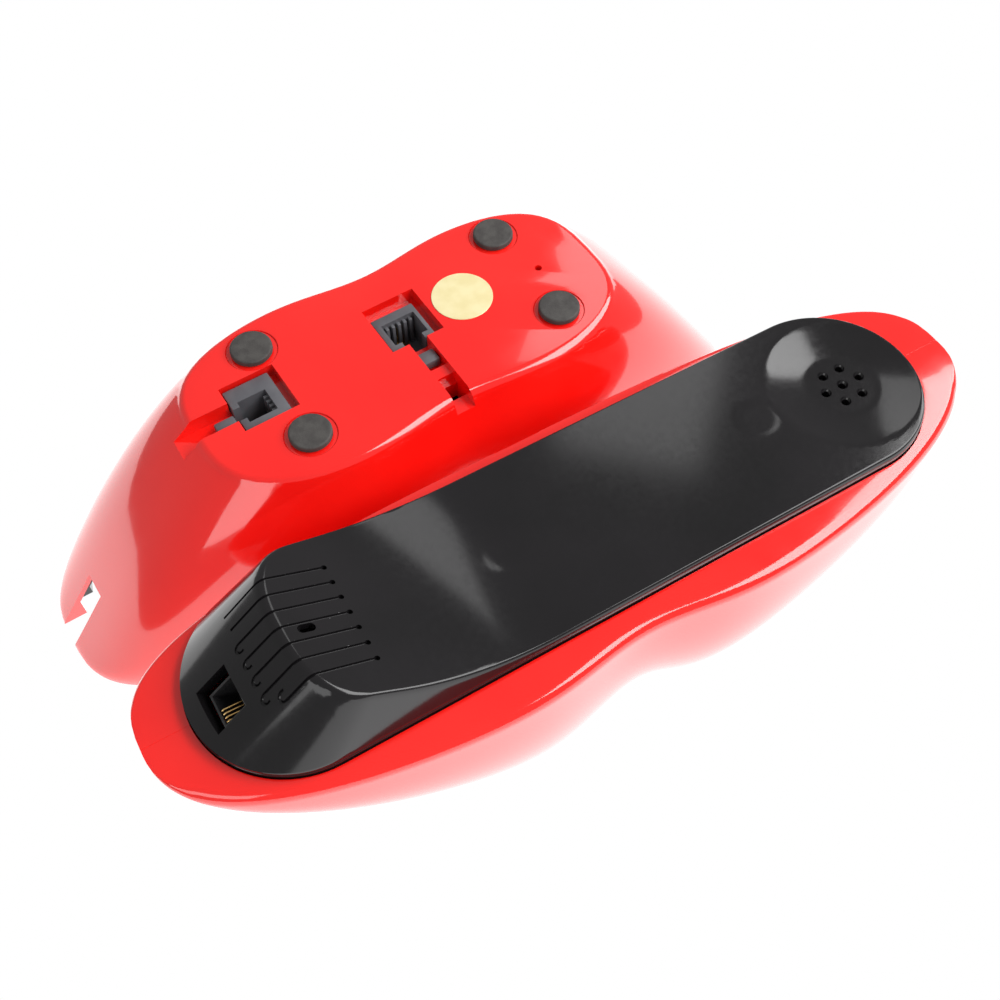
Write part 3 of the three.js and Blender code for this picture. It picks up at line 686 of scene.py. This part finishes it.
SLOPE_PLACE = slope_place()


def make_handset_shell():
    shell = lip_body("handset_shell_fine", HANDSET_LIP, -1, HANDSET_PLACE, 261, 44)
    room = lip_hollow("room", HANDSET_LIP, -1, WALL, 2, HANDSET_PLACE)
    boolean(room, block("lid", -150, 150, -60, 60, -WALL, 5, HANDSET_PLACE))
    boolean(shell, room)
    grow = COVER["bevel"] + GAP
    seat = stadium(COVER["x"], COVER["y"], COVER["half"] + grow, COVER["r"] + grow)
    boolean(shell, prism("seat", seat, -WALL - 1, 5, HANDSET_PLACE))
    half, y = PARTING_LINE["half"], COVER["y"]
    lines = []
    for end, reach in ((-1, HANDSET_LIP["left"]), (1, HANDSET_LIP["right"])):
        far, near = end * (reach + 1), end * PARTING_LINE["inner"]
        outline = [(far, y + half), (far, y - half), (near, y - half), (near, y + half)]
        lines.append(prism("line", outline, -PARTING_LINE["depth"], 3, HANDSET_PLACE))
    boolean(shell, merge("lines", lines))
    return finish_mesh(shell)


def groove_pit(x, y):
    z = float(cover_height([x], [y])[0])
    return lathe("pit", [(0.5, z - 1.6), (0.6, z - 0.2), (0.75, z + 2)], HANDSET_PLACE, x, y, 0, 20)


def ear_holes():
    """One hole in the middle of the ear dish and six in a ring round it."""
    holes = []
    for k in range(7):
        ring_r = EARPIECE["ring_r"] if k < 6 else 0
        x = EARPIECE["x"] + ring_r * math.cos(k * math.pi / 3)
        y = EARPIECE["y"] + ring_r * math.sin(k * math.pi / 3)
        z = float(cover_height([x], [y])[0])
        r = EARPIECE["hole_r"]
        profile = [(r, z - 8), (r, z - 0.25), (r + 0.25, z), (r + 0.5, z + 0.5)]
        holes.append(lathe("hole", profile, HANDSET_PLACE, x, y, 0, 32))
    return holes


def make_cover():
    cover = cover_body("handset_cover_fine")
    boolean(cover, cover_body("room", COVER["t"], 2.5))
    paths = [groove_path(index) for index in range(GROOVE["count"])]
    width, depth = GROOVE["width"], GROOVE["depth"]
    grooves = [path_cutter("groove", path, width, depth, HANDSET_PLACE) for path in paths]
    boolean(cover, merge("grooves", grooves))
    cutters = [groove_pit(*path[0]) for path in paths] + ear_holes()
    oval = stadium(MIC["x"], MIC["y"], MIC["half"], MIC["r"], 12)
    cutters.append(prism("mic", oval, 8, 40, HANDSET_PLACE))
    sx, sy, depth = HANDSET_JACK["sx"], HANDSET_JACK["sy"], HANDSET_JACK["depth"]
    cutters.append(block("socket", -sx / 2, sx / 2, -sy / 2, sy / 2, -depth - 1, 9, SLOPE_PLACE))
    boolean(cover, merge("openings", cutters))
    return finish_mesh(cover, 38)


def make_handset_jack():
    sx, sy = HANDSET_JACK["sx"] / 2 - GAP, HANDSET_JACK["sy"] / 2 - GAP
    depth, ledge = HANDSET_JACK["depth"], HANDSET_JACK["ledge"]
    body = block("handset_jack_fine", -sx, sx, -sy, sy, -depth, -HANDSET_JACK["sunk"], SLOPE_PLACE)
    boolean(body, block("step", -20, ledge[0], -20, 20, -HANDSET_JACK["ledge_depth"], 5, SLOPE_PLACE))
    boolean(body, block("step", -20, 20, ledge[1], 20, -HANDSET_JACK["ledge_depth"], 5, SLOPE_PLACE))
    boolean(body, plan_block("mouth", HANDSET_JACK["mouth"], 1.4 - depth, 5, SLOPE_PLACE))
    return finish_mesh(bevel(body, 0.16))


def wire(name, path, r, place, sides=10):
    """A round wire along a path."""
    path = [Vector(p) for p in path]
    rings = []
    for k, point in enumerate(path):
        along = (path[min(k + 1, len(path) - 1)] - path[max(k - 1, 0)]).normalized()
        side = along.cross(Vector((0, 1, 0.001))).normalized()
        other = along.cross(side)
        turns = [2 * math.pi * i / sides for i in range(sides)]
        rings.append([tuple(point + (side * math.cos(t) + other * math.sin(t)) * r) for t in turns])
    return loft(name, rings, place)


def make_handset_contacts():
    x0, x1 = HANDSET_JACK["mouth"][:2]
    wires = []
    for k in range(4):
        y = -1.5 - 0.95 * k
        path = [(x0 + 0.35, y, -1.7), (x0 + 0.5, y, -1.45), (x0 + 0.8, y, -1.5)]
        path += [(x0 + 1 + step, y, -1.6 - step * 0.95) for step in np.linspace(0, x1 - x0 - 1.5, 8)]
        wires.append(wire("wire", path, 0.2, SLOPE_PLACE))
    return finish_mesh(merge("handset_contacts_fine", wires), 60)


# ---------------------------------------------------------------- materials

def new_material(name):
    material = bpy.data.materials.new(name)
    material.use_nodes = True
    return material, material.node_tree, material.node_tree.nodes["Principled BSDF"]


def noise(tree, scale, detail=3.0, roughness=0.5):
    """Noise over the object's own metres, at a scale in cells per metre."""
    place = tree.nodes.new("ShaderNodeTexCoord")
    texture = tree.nodes.new("ShaderNodeTexNoise")
    texture.inputs["Scale"].default_value = scale
    texture.inputs["Detail"].default_value = detail
    texture.inputs["Roughness"].default_value = roughness
    tree.links.new(place.outputs["Object"], texture.inputs["Vector"])
    return texture.outputs["Fac"]


def spread(tree, value, low, high, start=0.3, stop=0.7):
    """Maps a noise value onto a range of numbers."""
    remap = tree.nodes.new("ShaderNodeMapRange")
    remap.inputs["From Min"].default_value = start
    remap.inputs["From Max"].default_value = stop
    remap.inputs["To Min"].default_value = low
    remap.inputs["To Max"].default_value = high
    tree.links.new(value, remap.inputs["Value"])
    return remap.outputs["Result"]


def tint(tree, value, color_a, color_b, start=0.35, stop=0.65):
    """Blends two colours by a noise value."""
    ramp = tree.nodes.new("ShaderNodeValToRGB")
    ramp.color_ramp.elements[0].position = start
    ramp.color_ramp.elements[0].color = (*color_a, 1)
    ramp.color_ramp.elements[1].position = stop
    ramp.color_ramp.elements[1].color = (*color_b, 1)
    tree.links.new(value, ramp.inputs["Fac"])
    return ramp.outputs["Color"]


def bump(tree, shader, value, height):
    """Fine relief from a noise value, its height in millimetres."""
    node = tree.nodes.new("ShaderNodeBump")
    node.inputs["Strength"].default_value = 1.0
    node.inputs["Distance"].default_value = height * MM
    tree.links.new(value, node.inputs["Height"])
    tree.links.new(node.outputs["Normal"], shader.inputs["Normal"])


def surface(name, color_a, color_b, rough, cell, height, fine_cell=None, **settings):
    """A moulded or pressed surface: cloudy colour, uneven gloss and a fine relief in millimetres."""
    material, tree, shader = new_material(name)
    cloud = noise(tree, cell)
    grain = noise(tree, fine_cell or cell * 6, 4.0, 0.6)
    tree.links.new(tint(tree, cloud, color_a, color_b), shader.inputs["Base Color"])
    tree.links.new(spread(tree, grain, *rough), shader.inputs["Roughness"])
    bump(tree, shader, grain, height)
    for socket, value in settings.items():
        shader.inputs[socket.replace("_", " ")].default_value = value
    return material


def red_plastic():
    return surface(
        "red_plastic", (0.80, 0.006, 0.004), (0.86, 0.011, 0.007), (0.07, 0.13), 25, 0.004, 110,
        Coat_Weight=0.6, Coat_Roughness=0.03, Specular_IOR_Level=0.55,
    )


def black_plastic():
    return surface(
        "black_plastic", (0.006, 0.0055, 0.006), (0.009, 0.008, 0.009), (0.09, 0.14), 30, 0.002, 700,
        Specular_IOR_Level=0.42,
    )


def metal(name, color_a, color_b, rough):
    return surface(name, color_a, color_b, rough, 300, 0.003, 1500, Metallic=1.0)


# name: (two base colours, lowest and highest roughness, cells per metre, relief in mm)
PLAIN_SURFACES = {
    "black_part": ((0.012, 0.012, 0.013), (0.02, 0.02, 0.021), (0.4, 0.55), 60, 0.02),
    "pale_key": ((0.70, 0.69, 0.64), (0.76, 0.75, 0.71), (0.25, 0.35), 80, 0.008),
    "rubber_mat": ((0.10, 0.10, 0.098), (0.14, 0.14, 0.135), (0.6, 0.8), 120, 0.03),
    "circuit_board": ((0.015, 0.10, 0.03), (0.02, 0.13, 0.045), (0.3, 0.45), 90, 0.01),
    "grey_jack": ((0.085, 0.085, 0.095), (0.11, 0.11, 0.12), (0.3, 0.42), 150, 0.01),
    "dark_jack": ((0.012, 0.012, 0.013), (0.018, 0.018, 0.019), (0.25, 0.35), 150, 0.01),
    "foot_rubber": ((0.040, 0.036, 0.034), (0.060, 0.056, 0.052), (0.62, 0.85), 420, 0.05, 2600),
}


def make_materials():
    """One material for each of the record's material slots."""
    materials = {name: surface(name, *values) for name, values in PLAIN_SURFACES.items()}
    materials["red_shell"] = red_plastic()
    materials["black_plastic"] = black_plastic()
    materials["gold_contact"] = metal("gold_contact", (0.80, 0.52, 0.20), (0.88, 0.62, 0.28), (0.15, 0.3))
    materials["steel"] = metal("steel", (0.45, 0.45, 0.47), (0.55, 0.55, 0.58), (0.22, 0.4))
    materials["cream_sticker"] = surface(
        "cream_sticker", (0.80, 0.69, 0.36), (0.86, 0.76, 0.44), (0.28, 0.42), 260, 0.006, 1400, Metallic=0.25
    )
    return materials


def material_of_nodes():
    """Which material each CAD node takes, by the record's material slots."""
    return {part["node"]: part["material_slot"] for part in frame["record"]["subparts"]}


def paint(obj, material):
    """Gives an object this material alone."""
    obj.data.materials.clear()
    obj.data.materials.append(material)


# ---------------------------------------------------------------- studio

def camera():
    data = bpy.data.cameras.new("camera")
    data.sensor_width = 36
    data.lens = 43.2
    data.clip_start = 0.01
    obj = bpy.data.objects.new("camera", data)
    bpy.context.scene.collection.objects.link(obj)
    obj.location = BASE_ORIGIN + Vector((-0.0936, -0.1867, 0.2966))
    obj.rotation_euler = (math.radians(90 - 57.2), 0, math.radians(-33.3))
    bpy.context.scene.camera = obj


def white_to_camera(tree, lit):
    """Seen directly the backdrop is pure white; what it casts on the object is the lit strength."""
    path = tree.nodes.new("ShaderNodeLightPath")
    remap = tree.nodes.new("ShaderNodeMapRange")
    remap.inputs["To Min"].default_value = lit
    remap.inputs["To Max"].default_value = 1.0
    tree.links.new(path.outputs["Is Camera Ray"], remap.inputs["Value"])
    return remap.outputs["Result"]


def white_floor(strength):
    floor = block("floor", -450, 450, -450, 450, -12, -0.05, Matrix.Scale(MM, 4))
    material = bpy.data.materials.new("white_table")
    material.use_nodes = True
    tree = material.node_tree
    tree.nodes.clear()
    emission = tree.nodes.new("ShaderNodeEmission")
    output = tree.nodes.new("ShaderNodeOutputMaterial")
    tree.links.new(white_to_camera(tree, strength), emission.inputs["Strength"])
    tree.links.new(emission.outputs["Emission"], output.inputs["Surface"])
    paint(floor, material)


def white_room(strength):
    world = bpy.data.worlds.new("studio")
    bpy.context.scene.world = world
    world.use_nodes = True
    background = world.node_tree.nodes["Background"]
    background.inputs["Color"].default_value = (1, 1, 1, 1)
    tree = world.node_tree
    tree.links.new(white_to_camera(tree, strength), background.inputs["Strength"])


def softbox(name, direction, distance, size, strength):
    """A rectangular light that faces the object; strength is its brightness over white."""
    data = bpy.data.lights.new(name, "AREA")
    data.shape = "RECTANGLE"
    data.size, data.size_y = size
    data.energy = strength * math.pi * size[0] * size[1]
    obj = bpy.data.objects.new(name, data)
    bpy.context.scene.collection.objects.link(obj)
    obj.location = Vector(direction).normalized() * distance
    obj.rotation_euler = obj.location.to_track_quat("Z", "Y").to_euler()


def studio():
    white_floor(1.9)
    white_room(0.4)
    softbox("window", (0.63, -0.32, 0.68), 1.1, (1.25, 0.7), 7.0)
    softbox("strip", (0.50, 0.47, 0.72), 1.1, (0.17, 0.4), 2.2)
    softbox("fill", (-0.75, -0.45, 0.45), 1.3, (0.8, 0.5), 2.5)
    bpy.context.scene.view_settings.view_transform = "Standard"


# ---------------------------------------------------------------- assembly

def place_pieces(materials):
    """Every fine piece with the CAD node it stands for and the body it rides on."""
    pieces = [
        (make_base_shell(), "base_shell", "base"), (make_sticker(), "blank_sticker", "base"),
        (make_line_jack(), "line_jack", "base"), (make_cord_jack(), "cord_jack", "base"),
        (make_handset_shell(), "handset_shell", "handset"), (make_cover(), "handset_cover", "handset"),
        (make_handset_jack(), "handset_jack", "handset"),
        (make_handset_contacts(), "handset_jack_contacts", "handset"),
    ]
    pieces += [(make_foot(index), f"foot_{index + 1}", "base") for index in range(len(FEET))]
    slots = material_of_nodes()
    for piece, node, body in pieces:
        paint(piece, materials[slots[node]])
        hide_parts(node)
        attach(piece, body)
    for node, slot in slots.items():
        paint(NODES[node], materials[slot])


camera()
studio()
place_pieces(make_materials())
